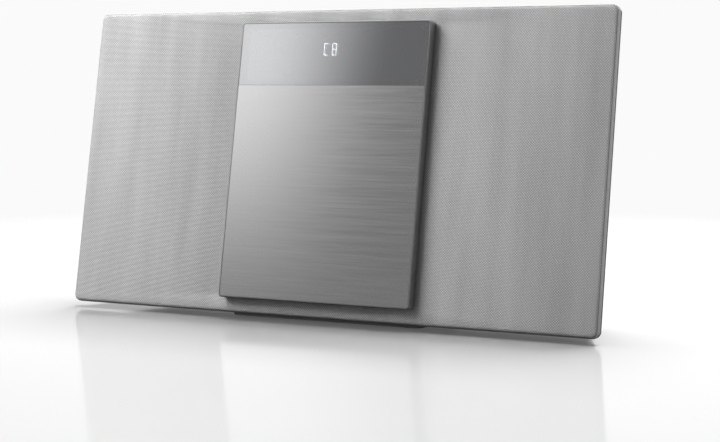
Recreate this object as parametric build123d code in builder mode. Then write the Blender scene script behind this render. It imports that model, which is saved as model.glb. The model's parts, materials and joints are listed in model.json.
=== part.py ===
from build123d import *
import os
from math import acos, cos, pi, radians, sin, sqrt, tan

# A slim desktop audio system. Origin: middle of the footprint on the table. +X right, +Y back, +Z up.
os.makedirs("parts", exist_ok=True)

# ---- driving dimensions, millimetres ------------------------------------------------------------
panel_width = 408.0
panel_height = 216.0  # measured up the slope
panel_lean = 10.25  # degrees that the front leans back
panel_gap = 4.4  # lower edge of the front panel above the table
panel_corner = 5.0
body_depth = 89.4

door_width = 149.0
door_height = 196.0
door_travel = 127.0
door_proud = 7.4  # door face in front of the cloth
door_gap = 0.8  # air between the door's back and the cloth
door_corner = 2.5
door_chamfer = 0.6
door_lip = 0.9  # rim round the sheet and the window
door_web = 1.8  # carrier left behind the sheet
door_lap = 1.6  # door overlap past the opening behind it
window_height = 44.4  # dark window along the door's top
sheet_thickness = 1.0
sheet_sunk = 0.2  # sheet below the rim

cloth_thickness = 0.6
grille_thickness = 3.0
baffle_thickness = 3.2
edge_wrap = 4.8  # how far the cloth turns round the panel's edge
shell_wall = 2.5
shell_floor = 8.0  # cabinet underside above the table
shell_top = 210.5
shell_side_step = 4.0  # cabinet side inside the panel's edge
shell_taper = 0.38  # sideways millimetres lost per millimetre of depth
shell_radius = 7.0

disc_v = 85.0  # disc centre up the slope
disc_shift = 2.0  # disc centre to the right of the opening's middle
recess_radius = 61.5
recess_depth = 7.0
hub_radius = 7.45  # centring nose for a 15 mm disc hole
turntable_radius = 15.0
sled_travel = 35.0
sled_start = 23.0  # lens to spindle at the innermost track

driver_v = 98.0  # loudspeaker centre up the slope
driver_cutout = 39.0
driver_flange = 46.0
driver_pitch = 43.0  # screw circle radius of the loudspeaker
magnet_radius = 30.0
magnet_depth = 14.0
cone_radius = 31.6

button_pitch = 17.0
button_length = 13.0
button_width = 7.0
button_travel = 0.8
button_names = ["power", "source", "play", "volume_down", "volume_up", "door"]

rod_radius = 2.0
rack_module = 0.8
rack_gear_teeth = 30
pulley_gear_teeth = 12
pulley_pitch_radius = 12.0
motor_pulley_radius = 3.0
belt_thickness = 1.4
sled_module = 0.5
sled_gear_teeth = 24
sled_pinion_teeth = 10

case_screw_radius = 1.5
foot_set_back = 13.0  # foot behind the panel's lower edge
foot_depth = 60.2
foot_bottom = 0.5  # foot plate above the table
foot_pad_radius = 6.0
board_thickness = 1.6
wall_hole_spacing = 160.0
wall_hole_radius = 2.1
wall_hole_height = 150.0

# ---- clearances ---------------------------------------------------------------------------------
running = 0.05  # turning or sliding fit, on the radius
seated = 0.02  # fixed fit, on the radius
joint_gap = 0.2  # between mouldings that meet
loose = 0.4  # round covers, boards and sockets
backlash = 0.12  # gear teeth, along the pitch circle

# ---- frames of reference ------------------------------------------------------------------------
lean_sin = sin(radians(panel_lean))
lean_cos = cos(radians(panel_lean))
door_bottom = (panel_height - door_height) / 2
door_top = door_bottom + door_height
door_reach = door_proud * lean_cos - (door_bottom + door_chamfer) * lean_sin
front_y = door_reach - body_depth / 2  # lower edge of the cloth's face
rear_y = body_depth / 2
outward = Vector(0, -lean_cos, lean_sin)
upslope = Vector(0, lean_sin, lean_cos)
panel_plane = Plane(origin=(0, front_y, panel_gap), x_dir=(1, 0, 0), z_dir=outward)
rear_plane = Plane.XZ.offset(-rear_y)  # its normal points into the cabinet
middle = (0, panel_height / 2)

# heights along the panel's outward normal; the cloth's face is 0
grille_front = -cloth_thickness - 0.05
grille_back = grille_front - grille_thickness
baffle_front = -edge_wrap - joint_gap
baffle_back = baffle_front - baffle_thickness
shell_front = baffle_back - joint_gap
bay_face = -1.0
bay_wall = 2.0
bay_flange = baffle_back - 0.1
recess_floor = bay_face - recess_depth
disc_seat = recess_floor + 3.0
rod_height = -20.0
gear_front = -16.6
gear_width = 3.0
drive_plate_front = -20.5
chassis_front = -14.0
chassis_thickness = 2.5
sled_rod_height = -20.0

opening_width = door_width - 2 * door_lap
opening_height = door_height - 2 * door_lap
opening_corner = 3.0
disc_u = (door_travel - door_width) / 2 + disc_shift  # near the middle of what the open door uncovers
driver_u = (panel_width + door_width) / 4
rail_low_v = door_bottom + 7.0
rail_high_v = disc_v + recess_radius + 5.0


def panel(height):
    """The panel's own plane, moved outward by height: X right, Y up the slope."""
    return panel_plane.offset(height)


def on_panel(u, v, height=0.0):
    """The point at u, v on the panel's plane and height in front of it."""
    return panel_plane.from_local_coords(Vector(u, v, height))


def slab(plane, width, height, depth, at=((0, 0),), radius=0.0, mode=Mode.ADD):
    """Rectangles on a plane, pulled depth along its normal."""
    with BuildSketch(plane) as outline:
        with Locations(*at):
            if radius > 0:
                RectangleRounded(width, height, radius)
            else:
                Rectangle(width, height)
    extrude(outline.sketch, amount=depth, mode=mode)


def peg(plane, radius, depth, at=((0, 0),), mode=Mode.ADD):
    """Round pegs or holes on a plane, pulled depth along its normal."""
    with BuildSketch(plane) as outline:
        with Locations(*at):
            Circle(radius)
    extrude(outline.sketch, amount=depth, mode=mode)


def turned(u, v, points, mode=Mode.ADD):
    """A body turned about the panel's normal at u, v from (radius, height) points."""
    seat = on_panel(u, v)
    with BuildSketch(Plane(origin=seat, x_dir=(1, 0, 0), z_dir=-upslope)) as profile:
        with BuildLine():
            Polyline(*points, close=True)
        make_face()
    revolve(profile.sketch, axis=Axis(seat, outward), mode=mode)


def block(low, high, mode=Mode.ADD):
    """An upright box between two corners."""
    size = Vector(*high) - Vector(*low)
    with BuildSketch(Plane.XY.offset(low[2])) as outline:
        with Locations(((low[0] + high[0]) / 2, (low[1] + high[1]) / 2)):
            Rectangle(size.X, size.Y)
    extrude(outline.sketch, amount=size.Z, mode=mode)


def involute(angle):
    """The involute function of a pressure angle in radians."""
    return tan(angle) - angle


def gear(plane, u, v, module, teeth, width, phase=0.0, addendum=0.8):
    """A spur gear with one tooth centred at phase degrees, pulled width behind the plane."""
    pressure = radians(20)
    pitch = module * teeth / 2
    base = pitch * cos(pressure)
    tip = pitch + addendum * module
    root = pitch - (addendum + 0.25) * module
    start = max(base, root)
    half = pi / (2 * teeth) - backlash / (2 * pitch) + involute(pressure)
    steps = 4
    flank = [(root, half - involute(acos(min(1.0, base / start))))]
    for step in range(steps + 1):
        radius = start + (tip - start) * step / steps
        flank.append((radius, half - involute(acos(base / radius))))
    points = []
    for tooth in range(teeth):
        centre = radians(phase) + 2 * pi * tooth / teeth
        for radius, angle in flank:
            points.append((u + radius * cos(centre - angle), v + radius * sin(centre - angle)))
        for radius, angle in reversed(flank):
            points.append((u + radius * cos(centre + angle), v + radius * sin(centre + angle)))
    with BuildSketch(plane) as outline:
        with BuildLine():
            Polyline(*points, close=True)
        make_face()
    extrude(outline.sketch, amount=-width)


def rack(plane, start, end, space_u, pitch_v, side, back, module, width, addendum=0.8):
    """A toothed bar from start to end; side is +1 for teeth up the slope, with a space at space_u."""
    pitch = pi * module
    tip = addendum * module
    root = (addendum + 0.25) * module
    slope = tan(radians(20))
    half = pitch / 4 - backlash / 2
    first = space_u + pitch / 2
    while first - pitch > start + pitch / 2:
        first -= pitch
    points = [(start, back), (start, pitch_v - side * root)]
    centre = first
    while centre < end - pitch / 2:
        points.append((centre - half - root * slope, pitch_v - side * root))
        points.append((centre - half + tip * slope, pitch_v + side * tip))
        points.append((centre + half - tip * slope, pitch_v + side * tip))
        points.append((centre + half + root * slope, pitch_v - side * root))
        centre += pitch
    points.append((end, pitch_v - side * root))
    points.append((end, back))
    with BuildSketch(plane) as outline:
        with BuildLine():
            Polyline(*points, close=True)
        make_face()
    extrude(outline.sketch, amount=-width)


# ---- front panel: cloth, grille frame and baffle ------------------------------------------------
with BuildPart() as grille_cloth:
    slab(panel(0), panel_width, panel_height, -edge_wrap, [middle], panel_corner)
    slab(
        panel(-cloth_thickness),
        panel_width - 2 * cloth_thickness,
        panel_height - 2 * cloth_thickness,
        -edge_wrap,
        [middle],
        panel_corner - cloth_thickness,
        mode=Mode.SUBTRACT,
    )
    slab(panel(0), opening_width, opening_height, -edge_wrap, [middle], opening_corner, Mode.SUBTRACT)
grille_cloth.part.label = "grille_cloth"
export_step(grille_cloth.part, "parts/grille_cloth.step")

grille_inset = cloth_thickness + 0.1
grille_width = panel_width - 2 * grille_inset
grille_height = panel_height - 2 * grille_inset
grille_corner = panel_corner - grille_inset
grille_rim = 4.0
slot_pitch = 5.2
slot_height = 2.8
slot_rows = int(driver_cutout / slot_pitch)
with BuildPart() as grille_frame:
    slab(panel(grille_front), grille_width, grille_height, grille_back - grille_front, [middle], grille_corner)
    rim_depth = -edge_wrap - grille_back
    slab(panel(grille_back), grille_width, grille_height, rim_depth, [middle], grille_corner)
    slab(
        panel(grille_back),
        grille_width - 2 * grille_rim,
        grille_height - 2 * grille_rim,
        rim_depth,
        [middle],
        1.5,
        mode=Mode.SUBTRACT,
    )
    slab(
        panel(0),
        opening_width + loose,
        opening_height + loose,
        -edge_wrap,
        [middle],
        opening_corner,
        Mode.SUBTRACT,
    )
    for side in (-1, 1):
        for row in range(-slot_rows, slot_rows + 1):
            rise = row * slot_pitch
            length = 2 * sqrt(driver_cutout**2 - rise**2)
            with BuildSketch(panel(0)) as slot:
                with Locations((side * driver_u, driver_v + rise)):
                    SlotOverall(length, slot_height)
            extrude(slot.sketch, amount=grille_back - joint_gap, mode=Mode.SUBTRACT)
grille_frame.part.label = "grille_frame"
export_step(grille_frame.part, "parts/grille_frame.step")

case_screw_places = [
    (side * x, z)
    for side in (-1, 1)
    for x, z in ((panel_width / 2 - 54, 22.0), (panel_width / 2 - 54, 194.0), (door_width / 2 + 24, 22.0))
]
boss_end = 24.0  # where baffle bosses meet the cabinet's screw tubes, along Y
boss_radius = 4.0
screw_reach = 12.0
with BuildPart() as front_baffle:
    slab(
        panel(baffle_front),
        panel_width - 1.0,
        panel_height - 1.0,
        -baffle_thickness,
        [middle],
        panel_corner - 0.5,
    )
    for x, z in case_screw_places:
        rise = (z - panel_gap) / lean_cos
        plate_y = front_y + rise * lean_sin - (baffle_front - baffle_thickness / 2) * lean_cos
        peg(Plane.XZ.offset(-boss_end), boss_radius, boss_end - plate_y, [(x, z)])
        peg(Plane.XZ.offset(-boss_end), case_screw_radius + seated, screw_reach + 1, [(x, z)], Mode.SUBTRACT)
    slab(
        panel(0),
        opening_width + loose,
        opening_height + loose,
        -20,
        [middle],
        opening_corner,
        Mode.SUBTRACT,
    )
    for side in (-1, 1):
        centre = (side * driver_u, driver_v)
        peg(panel(0), driver_cutout, -20, [centre], Mode.SUBTRACT)
        with BuildSketch(panel(baffle_back)) as pilots:
            with Locations(centre):
                with PolarLocations(driver_pitch, 4, start_angle=45):
                    Circle(1.25 + seated)
        extrude(pilots.sketch, amount=2.5, mode=Mode.SUBTRACT)
front_baffle.part.label = "front_baffle"
export_step(front_baffle.part, "parts/front_baffle.step")


# ---- rear cabinet -------------------------------------------------------------------------------
def cabinet_core(inset, radius, front):
    """The cabinet's outline as a solid, its faces moved in by inset, open end at height front."""
    low = shell_floor + inset
    high = shell_top - inset
    back = rear_y - inset
    reach = body_depth * 1.2  # well past the rear face

    def front_point(z):
        rise = (z - panel_gap - front * lean_sin) / lean_cos
        return (front_y + rise * lean_sin - front * lean_cos, z)

    with BuildPart() as core:
        with BuildSketch(Plane.YZ):
            with BuildLine():
                Polyline(front_point(low), (back, low), (back, high), front_point(high), close=True)
            make_face()
        extrude(amount=panel_width, both=True)
        half = panel_width / 2 - shell_side_step - inset * sqrt(1 + shell_taper**2)
        near = half + (front - shell_front) * shell_taper
        far = half - reach * shell_taper
        with BuildSketch(Plane(origin=on_panel(0, 0), x_dir=(1, 0, 0), z_dir=-upslope)):
            with BuildLine():
                Polyline(
                    (-near, front),
                    (near, front),
                    (far, shell_front - reach),
                    (-far, shell_front - reach),
                    close=True,
                )
            make_face()
        extrude(amount=panel_height * 2, both=True, mode=Mode.INTERSECT)
        fillet(core.faces().sort_by(Axis.Y)[-1].edges().filter_by(Axis.X, reverse=True), radius)
        fillet(core.faces().sort_by(Axis.Y)[-1].edges(), radius * 0.8)
    return core.part


shell_solid = cabinet_core(0.0, shell_radius, shell_front)
shell_hollow = cabinet_core(shell_wall, shell_radius - shell_wall, shell_front + 6)
chamber_x = door_width / 2 + 14
chamber_top = 152.0
rib = 2.0
board_back_y = rear_y - shell_wall - 9.9
floor_inside = shell_floor + shell_wall
power_board_z = floor_inside + 2.0
main_board_posts = [(x, z) for x in (-64, 64) for z in (52, 152)]
power_board_posts = [(x, y) for x in (-66, 66) for y in (-4, 22)]
button_xs = [(place - (len(button_names) - 1) / 2) * button_pitch for place in range(len(button_names))]
button_y = 24.0
button_board_z = shell_top - shell_wall - 6.4
button_board_posts = [(x, button_y + y) for x in (-58, 58) for y in (-8, 8)]
socket_z = 62.0
inlet_x = -48.0
inlet_z = 24.6
inlet_size = (26.0, 16.0)
antenna_x = 48.0
jack_x = 22.0
usb_x = -2.0
usb_size = (14.5, 7.0)
foot_screw_places = [(x, y) for x in (-50, 50) for y in (-18, 18)]
tube_end = boss_end + joint_gap
counterbore = 8.0
with BuildPart() as air:
    add(shell_hollow)
    for side in (-1, 1):
        wall_x = side * chamber_x
        block((wall_x - rib / 2, -80, 0), (wall_x + rib / 2, 80, chamber_top), Mode.SUBTRACT)
        near = min(side * chamber_x, side * panel_width)
        far = max(side * chamber_x, side * panel_width)
        block((near, -80, chamber_top - rib), (far, 80, chamber_top), Mode.SUBTRACT)
with BuildPart() as rear_cabinet:
    add(shell_solid)
    add(air.part, mode=Mode.SUBTRACT)
    for x, z in case_screw_places:
        peg(rear_plane, boss_radius + 1.5, rear_y - tube_end, [(x, z)])
        peg(rear_plane, 3.6, counterbore, [(x, z)], Mode.SUBTRACT)
        peg(rear_plane, case_screw_radius + 0.3, rear_y - tube_end, [(x, z)], Mode.SUBTRACT)
    peg(rear_plane.offset(1), 3.2, rear_y - 1 - board_back_y, main_board_posts)
    peg(Plane.XY.offset(shell_floor + 1), 3.2, power_board_z - shell_floor - 1, power_board_posts)
    peg(Plane.XY.offset(shell_top - 1), 3.0, button_board_z - shell_top + 1, button_board_posts)
    peg(Plane.XY.offset(shell_floor + 1), 3.2, power_board_z - shell_floor - 1.2, foot_screw_places)
    peg(Plane.XY.offset(shell_floor), 1.3, power_board_z - shell_floor, foot_screw_places, Mode.SUBTRACT)
    wall_holes = [(-wall_hole_spacing / 2, wall_hole_height), (wall_hole_spacing / 2, wall_hole_height)]
    peg(rear_plane.offset(1), 5.5, 9, wall_holes)
    peg(rear_plane, wall_hole_radius, 11, wall_holes, Mode.SUBTRACT)
    with BuildSketch(rear_plane) as vents:
        with Locations((0, 181)):
            with GridLocations(9, 20, 11, 1):
                SlotOverall(20, 3, rotation=90)
    extrude(vents.sketch, amount=shell_wall * 2, mode=Mode.SUBTRACT)
    slab(rear_plane, inlet_size[0] + loose, inlet_size[1] + loose, 4, [(inlet_x, inlet_z)], 1.5, Mode.SUBTRACT)
    slab(rear_plane, usb_size[0] + loose, usb_size[1] + loose, 4, [(usb_x, socket_z)], 1.0, Mode.SUBTRACT)
    peg(rear_plane, 4.0 + loose, 4, [(jack_x, socket_z)], Mode.SUBTRACT)
    peg(rear_plane, 6.0 + loose, 4, [(antenna_x, socket_z)], Mode.SUBTRACT)
    for x in button_xs:
        slab(
            Plane.XY.offset(shell_top),
            button_length + 2 * joint_gap,
            button_width + 2 * joint_gap,
            -shell_wall * 2,
            [(x, button_y)],
            1.2,
            Mode.SUBTRACT,
        )
rear_cabinet.part.label = "rear_cabinet"
export_step(rear_cabinet.part, "parts/rear_cabinet.step")

# ---- disc bay behind the door -------------------------------------------------------------------
bay_width = opening_width - loose
bay_height = opening_height - loose
arm_u = -door_width / 2 + 4.5  # left end of both door arms
arm_width = 10.0
arm_thickness = 2.4
slot_start = arm_u - 1.0
slot_end = arm_u + arm_width + door_travel + 1.0
display_v = door_top - 21.0
display_window = (80.0, 28.0)
chassis_size = (104.0, 74.0)
chassis_centre = (disc_u + 18.0, disc_v)
damper_places = [
    (chassis_centre[0] + x * (chassis_size[0] / 2 - 6), chassis_centre[1] + y * (chassis_size[1] / 2 - 6))
    for x in (-1, 1)
    for y in (-1, 1)
]
damper_top = chassis_front + 1.5
lug_u = opening_width / 2 + 3.6
lug_thickness = 3.0
rack_gear_u = arm_u + door_travel + 4.0
rack_gear_radius = rack_module * rack_gear_teeth / 2
rack_pitch_v = rail_high_v + 8.0
rack_gear_v = rack_pitch_v + rack_gear_radius
drive_boss_places = [(rack_gear_u + 17.5, rack_gear_v - 5), (rack_gear_u + 17.5, 193.0), (8.0, 166.0)]
display_boss_places = [(x, v) for x in (-47, 47) for v in (174, 196)]
with BuildPart() as disc_bay:
    slab(panel(bay_face), bay_width, bay_height, -bay_wall, [middle], opening_corner)
    slab(panel(bay_face), bay_width, bay_height, bay_flange - bay_face, [middle], opening_corner)
    slab(
        panel(bay_face - bay_wall),
        bay_width - 2 * bay_wall,
        bay_height - 2 * bay_wall,
        bay_flange - bay_face + bay_wall,
        [middle],
        opening_corner - 1,
        Mode.SUBTRACT,
    )
    slab(panel(bay_flange), opening_width + 16, opening_height + 4, -bay_wall, [middle], opening_corner)
    slab(
        panel(bay_flange),
        bay_width - 2 * bay_wall,
        bay_height - 2 * bay_wall,
        -bay_wall,
        [middle],
        opening_corner - 1,
        Mode.SUBTRACT,
    )
    peg(panel(bay_face), recess_radius + bay_wall, recess_floor - bay_wall - bay_face, [(disc_u, disc_v)])
    peg(panel(bay_face - 1), 3.0, damper_top - bay_face + 1, damper_places)
    peg(panel(bay_flange - 1), 3.0, drive_plate_front - bay_flange + 1, drive_boss_places[:2])
    peg(panel(bay_face - 1), 3.0, drive_plate_front - bay_face + 1, drive_boss_places[2:])
    peg(panel(bay_face - 1), 2.5, -4.4, display_boss_places)
    for v in (rail_low_v, rail_high_v):
        for side in (-1, 1):
            slab(panel(bay_flange), lug_thickness, 8, rod_height - 3.5 - bay_flange, [(side * lug_u, v)])
    peg(panel(0), recess_radius, recess_floor, [(disc_u, disc_v)], Mode.SUBTRACT)
    slab(panel(0), 22, 26, recess_floor, [(disc_u + recess_radius, disc_v)], 4, Mode.SUBTRACT)
    slab(panel(bay_face), 12, 30, recess_floor - bay_wall - bay_face, [(disc_u + recess_radius + 7, disc_v)], 4)
    slab(panel(0), 22, 26, recess_floor, [(disc_u + recess_radius - 1, disc_v)], 4, Mode.SUBTRACT)
    peg(panel(0), turntable_radius + 2, -20, [(disc_u, disc_v)], Mode.SUBTRACT)
    lens_slot = (disc_u + turntable_radius, disc_u + sled_start + sled_travel + 7)
    slab(
        panel(0),
        lens_slot[1] - lens_slot[0],
        17,
        -12,
        [((lens_slot[0] + lens_slot[1]) / 2, disc_v)],
        3,
        Mode.SUBTRACT,
    )
    for v in (rail_low_v, rail_high_v):
        slab(
            panel(0),
            slot_end - slot_start,
            arm_thickness + 1.0,
            -12,
            [((slot_start + slot_end) / 2, v)],
            1.2,
            Mode.SUBTRACT,
        )
        with BuildSketch(Plane.YZ.offset(-panel_width / 2)) as rod_hole:
            seat = on_panel(0, v, rod_height)
            with Locations((seat.Y, seat.Z)):
                Circle(rod_radius + seated)
        extrude(rod_hole.sketch, amount=panel_width, mode=Mode.SUBTRACT)
    slab(panel(0), display_window[0], display_window[1], -4, [(0, display_v)], 2, Mode.SUBTRACT)
    peg(panel(damper_top), 1.3, 3.5, damper_places, Mode.SUBTRACT)
disc_bay.part.label = "disc_bay"
export_step(disc_bay.part, "parts/disc_bay.step")

# ---- sliding door -------------------------------------------------------------------------------
lip_gap = 0.25
sheet_back = door_proud - sheet_sunk - sheet_thickness
inner_width = door_width - 2 * door_lip
inner_height = door_height - 2 * door_lip
inner_corner = door_corner - door_lip
window_v = door_top - door_lip - window_height / 2
seam_v = door_top - window_height - door_lip
window_view = (door_width - 14, window_height - 8)
with BuildPart() as door_carrier:
    slab(panel(door_gap), door_width, door_height, door_proud - door_gap, [middle], door_corner)
    front = door_carrier.faces().sort_by(Axis((0, 0, 0), outward))[-1]
    chamfer(front.edges(), door_chamfer)
    slab(
        panel(door_proud),
        inner_width,
        inner_height,
        sheet_back - door_proud,
        [middle],
        inner_corner,
        Mode.SUBTRACT,
    )
    slab(panel(0), window_view[0], window_view[1], door_proud, [(0, window_v)], 2, Mode.SUBTRACT)
    pocket_low = door_bottom + 3
    pocket_high = seam_v - 4
    pocket_left = arm_u + arm_width + 3
    pocket_right = door_width / 2 - 3
    slab(
        panel(0),
        pocket_right - pocket_left,
        pocket_high - pocket_low,
        sheet_back - door_web,
        [((pocket_left + pocket_right) / 2, (pocket_low + pocket_high) / 2)],
        2,
        Mode.SUBTRACT,
    )
door_carrier.part.label = "door_carrier"
export_step(door_carrier.part, "parts/door_carrier.step")


def face_plate(low, high):
    """The stretch of the door's rounded face plate between two heights up the slope."""
    width = inner_width - 2 * lip_gap
    height = inner_height - 2 * lip_gap
    slab(panel(sheet_back), width, height, sheet_thickness, [middle], inner_corner - lip_gap)
    slab(panel(0), door_width, high - low, door_proud, [(0, (low + high) / 2)], mode=Mode.INTERSECT)


with BuildPart() as door_sheet:
    face_plate(door_bottom, seam_v - joint_gap / 2)
door_sheet.part.label = "door_sheet"
export_step(door_sheet.part, "parts/door_sheet.step")

with BuildPart() as door_window:
    face_plate(seam_v + joint_gap / 2, door_top)
door_window.part.label = "door_window"
export_step(door_window.part, "parts/door_window.step")

rack_start = arm_u
rack_end = rack_gear_u + 3.0
rack_back_v = rail_high_v + 4.6


def door_arm(v):
    """A flat arm through its slot, with a bored shoe that runs on the rod behind the bay."""
    centre = arm_u + arm_width / 2
    slab(panel(door_gap), arm_width, arm_thickness, rod_height - door_gap, [(centre, v)])
    slab(panel(rod_height + 3), arm_width, 7.0, -6.0, [(centre, v)])
    seat = on_panel(0, v, rod_height)
    with BuildSketch(Plane.YZ.offset(arm_u)) as bore:
        with Locations((seat.Y, seat.Z)):
            Circle(rod_radius + running)
    extrude(bore.sketch, amount=arm_width, mode=Mode.SUBTRACT)


with BuildPart() as door_rack_arm:
    door_arm(rail_high_v)
    centre = arm_u + arm_width / 2
    slab(panel(rod_height + 3), arm_width, 2.2, -2.6, [(centre, rail_high_v + 4.2)])
    rack(
        panel(gear_front),
        rack_start,
        rack_end,
        rack_gear_u,
        rack_pitch_v,
        1,
        rack_back_v,
        rack_module,
        gear_width,
    )
door_rack_arm.part.label = "door_rack_arm"
export_step(door_rack_arm.part, "parts/door_rack_arm.step")

with BuildPart() as door_guide_arm:
    door_arm(rail_low_v)
door_guide_arm.part.label = "door_guide_arm"
export_step(door_guide_arm.part, "parts/door_guide_arm.step")

rod_length = 2 * lug_u + lug_thickness
with BuildPart() as door_guide_rods:
    for v in (rail_low_v, rail_high_v):
        seat = on_panel(0, v, rod_height)
        with BuildSketch(Plane.YZ.offset(-rod_length / 2)) as section:
            with Locations((seat.Y, seat.Z)):
                Circle(rod_radius)
        extrude(section.sketch, amount=rod_length)
door_guide_rods.part.label = "door_guide_rods"
export_step(door_guide_rods.part, "parts/door_guide_rods.step")

# ---- door drive: motor, belt, two gears ---------------------------------------------------------
mesh_angle = 160.0
pulley_gear_radius = rack_module * pulley_gear_teeth / 2
mesh_distance = rack_gear_radius + pulley_gear_radius
pulley_u = rack_gear_u + mesh_distance * cos(radians(mesh_angle))
pulley_v = rack_gear_v + mesh_distance * sin(radians(mesh_angle))
motor_u = pulley_u - 26.5
motor_v = pulley_v + 7.0
post_radius = 1.5
gear_boss = 1.6  # rack gear's hub in front of its teeth
pulley_front = -13.2
pulley_back = -16.4
motor_shaft_radius = 1.0
motor_shaft_end = -25.0
belt_front = -14.05
belt_width = 1.5
rack_gear_phase = -90.0
tooth_angle = 360.0 / rack_gear_teeth
offset_angle = (mesh_angle - rack_gear_phase) % tooth_angle
pulley_phase = mesh_angle + 180 + (0.5 + offset_angle / tooth_angle) * 360.0 / pulley_gear_teeth


def pulley_outline(pitch_radius, flange):
    """Points down the rim of a flanged belt pulley, flange outside its pitch radius."""
    core_radius = pitch_radius - belt_thickness / 2 - 0.1
    flange_radius = pitch_radius + flange
    return [
        (0, pulley_front),
        (flange_radius, pulley_front),
        (flange_radius, pulley_front - 0.6),
        (core_radius, pulley_front - 0.8),
        (core_radius, pulley_back + 0.8),
        (flange_radius, pulley_back + 0.6),
        (flange_radius, pulley_back),
    ]


with BuildPart() as door_rack_gear:
    gear(panel(gear_front), rack_gear_u, rack_gear_v, rack_module, rack_gear_teeth, gear_width, rack_gear_phase)
    peg(panel(gear_front), 3.2, gear_boss, [(rack_gear_u, rack_gear_v)])
    peg(panel(0), post_radius + running, -30, [(rack_gear_u, rack_gear_v)], Mode.SUBTRACT)
door_rack_gear.part.label = "door_rack_gear"
export_step(door_rack_gear.part, "parts/door_rack_gear.step")

with BuildPart() as door_pulley_gear:
    teeth_front = pulley_back + 0.05
    teeth_width = teeth_front - gear_front + gear_width
    gear(panel(teeth_front), pulley_u, pulley_v, rack_module, pulley_gear_teeth, teeth_width, pulley_phase)
    turned(pulley_u, pulley_v, pulley_outline(pulley_pitch_radius, 1.0) + [(0, pulley_back)])
    peg(panel(0), post_radius + running, -30, [(pulley_u, pulley_v)], Mode.SUBTRACT)
door_pulley_gear.part.label = "door_pulley_gear"
export_step(door_pulley_gear.part, "parts/door_pulley_gear.step")

with BuildPart() as door_motor_pulley:
    shaft = [
        (motor_shaft_radius, pulley_back),
        (motor_shaft_radius, motor_shaft_end),
        (0, motor_shaft_end),
    ]
    turned(motor_u, motor_v, pulley_outline(motor_pulley_radius, 1.2) + shaft)
door_motor_pulley.part.label = "door_motor_pulley"
export_step(door_motor_pulley.part, "parts/door_motor_pulley.step")


def belt_loop(margin):
    """The outline round both pulleys, margin outside the belt's pitch line."""
    with BuildSketch(panel(belt_front)) as loop:
        with Locations((pulley_u, pulley_v)):
            Circle(pulley_pitch_radius + margin)
        with Locations((motor_u, motor_v)):
            Circle(motor_pulley_radius + margin)
        make_hull()
    return loop.sketch


with BuildPart() as door_belt:
    extrude(belt_loop(belt_thickness / 2), amount=-belt_width)
    extrude(belt_loop(-belt_thickness / 2), amount=-belt_width, mode=Mode.SUBTRACT)
door_belt.part.label = "door_belt"
export_step(door_belt.part, "parts/door_belt.step")

plate_left = 3.0
plate_right = rack_gear_u + 22.0
plate_low = 162.5
plate_high = 196.5
with BuildPart() as door_drive_plate:
    slab(
        panel(drive_plate_front - joint_gap / 2),
        plate_right - plate_left,
        plate_high - plate_low,
        -2.0,
        [((plate_left + plate_right) / 2, (plate_low + plate_high) / 2)],
        3.0,
    )
    post_foot = drive_plate_front - 1
    peg(panel(post_foot), post_radius, gear_front + gear_boss - post_foot, [(rack_gear_u, rack_gear_v)])
    peg(panel(post_foot), post_radius, pulley_front - 0.3 - post_foot, [(pulley_u, pulley_v)])
    peg(panel(0), 3.2, -40, [(motor_u, motor_v)], Mode.SUBTRACT)
door_drive_plate.part.label = "door_drive_plate"
export_step(door_drive_plate.part, "parts/door_drive_plate.step")

drive_plate_back = drive_plate_front - joint_gap / 2 - 2.0
with BuildPart() as door_motor:
    peg(panel(drive_plate_back - 0.05), 10.0, -13.0, [(motor_u, motor_v)])
    peg(panel(drive_plate_back - 0.05), 3.0, 1.5, [(motor_u, motor_v)])
    peg(panel(drive_plate_back - 13.0), 3.0, -1.5, [(motor_u, motor_v)])
    peg(panel(0), motor_shaft_radius + running, motor_shaft_end - 1, [(motor_u, motor_v)], Mode.SUBTRACT)
door_motor.part.label = "door_motor"
export_step(door_motor.part, "parts/door_motor.step")

# ---- disc mechanism -----------------------------------------------------------------------------
chassis_back = chassis_front - chassis_thickness
chassis_low = disc_v - chassis_size[1] / 2
lens_u = disc_u + sled_start
sled_width = 16.0
sled_left = lens_u - 6.5
sled_height = 42.0
sled_front = -17.0
sled_depth = 7.5
sled_rod_radius = 1.5
sled_rod_offset = 17.0
sled_lug_us = (sled_left - 2.0, sled_left + sled_width + sled_travel + 1.5)
sled_gear_radius = sled_module * sled_gear_teeth / 2
sled_pinion_radius = sled_module * sled_pinion_teeth / 2
sled_pitch_v = disc_v - sled_height / 2 - 2.0
sled_gear_u = sled_left + sled_width - 4.0
sled_gear_v = sled_pitch_v - sled_gear_radius
sled_pinion_u = sled_gear_u - sled_gear_radius - sled_pinion_radius
sled_gear_front = -21.0
sled_gear_width = 2.0
sled_addendum = 0.65
motor_plate_front = -24.4
motor_plate_back = -26.2
damper_neck = 3.0
spindle_radius = 1.0
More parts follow.
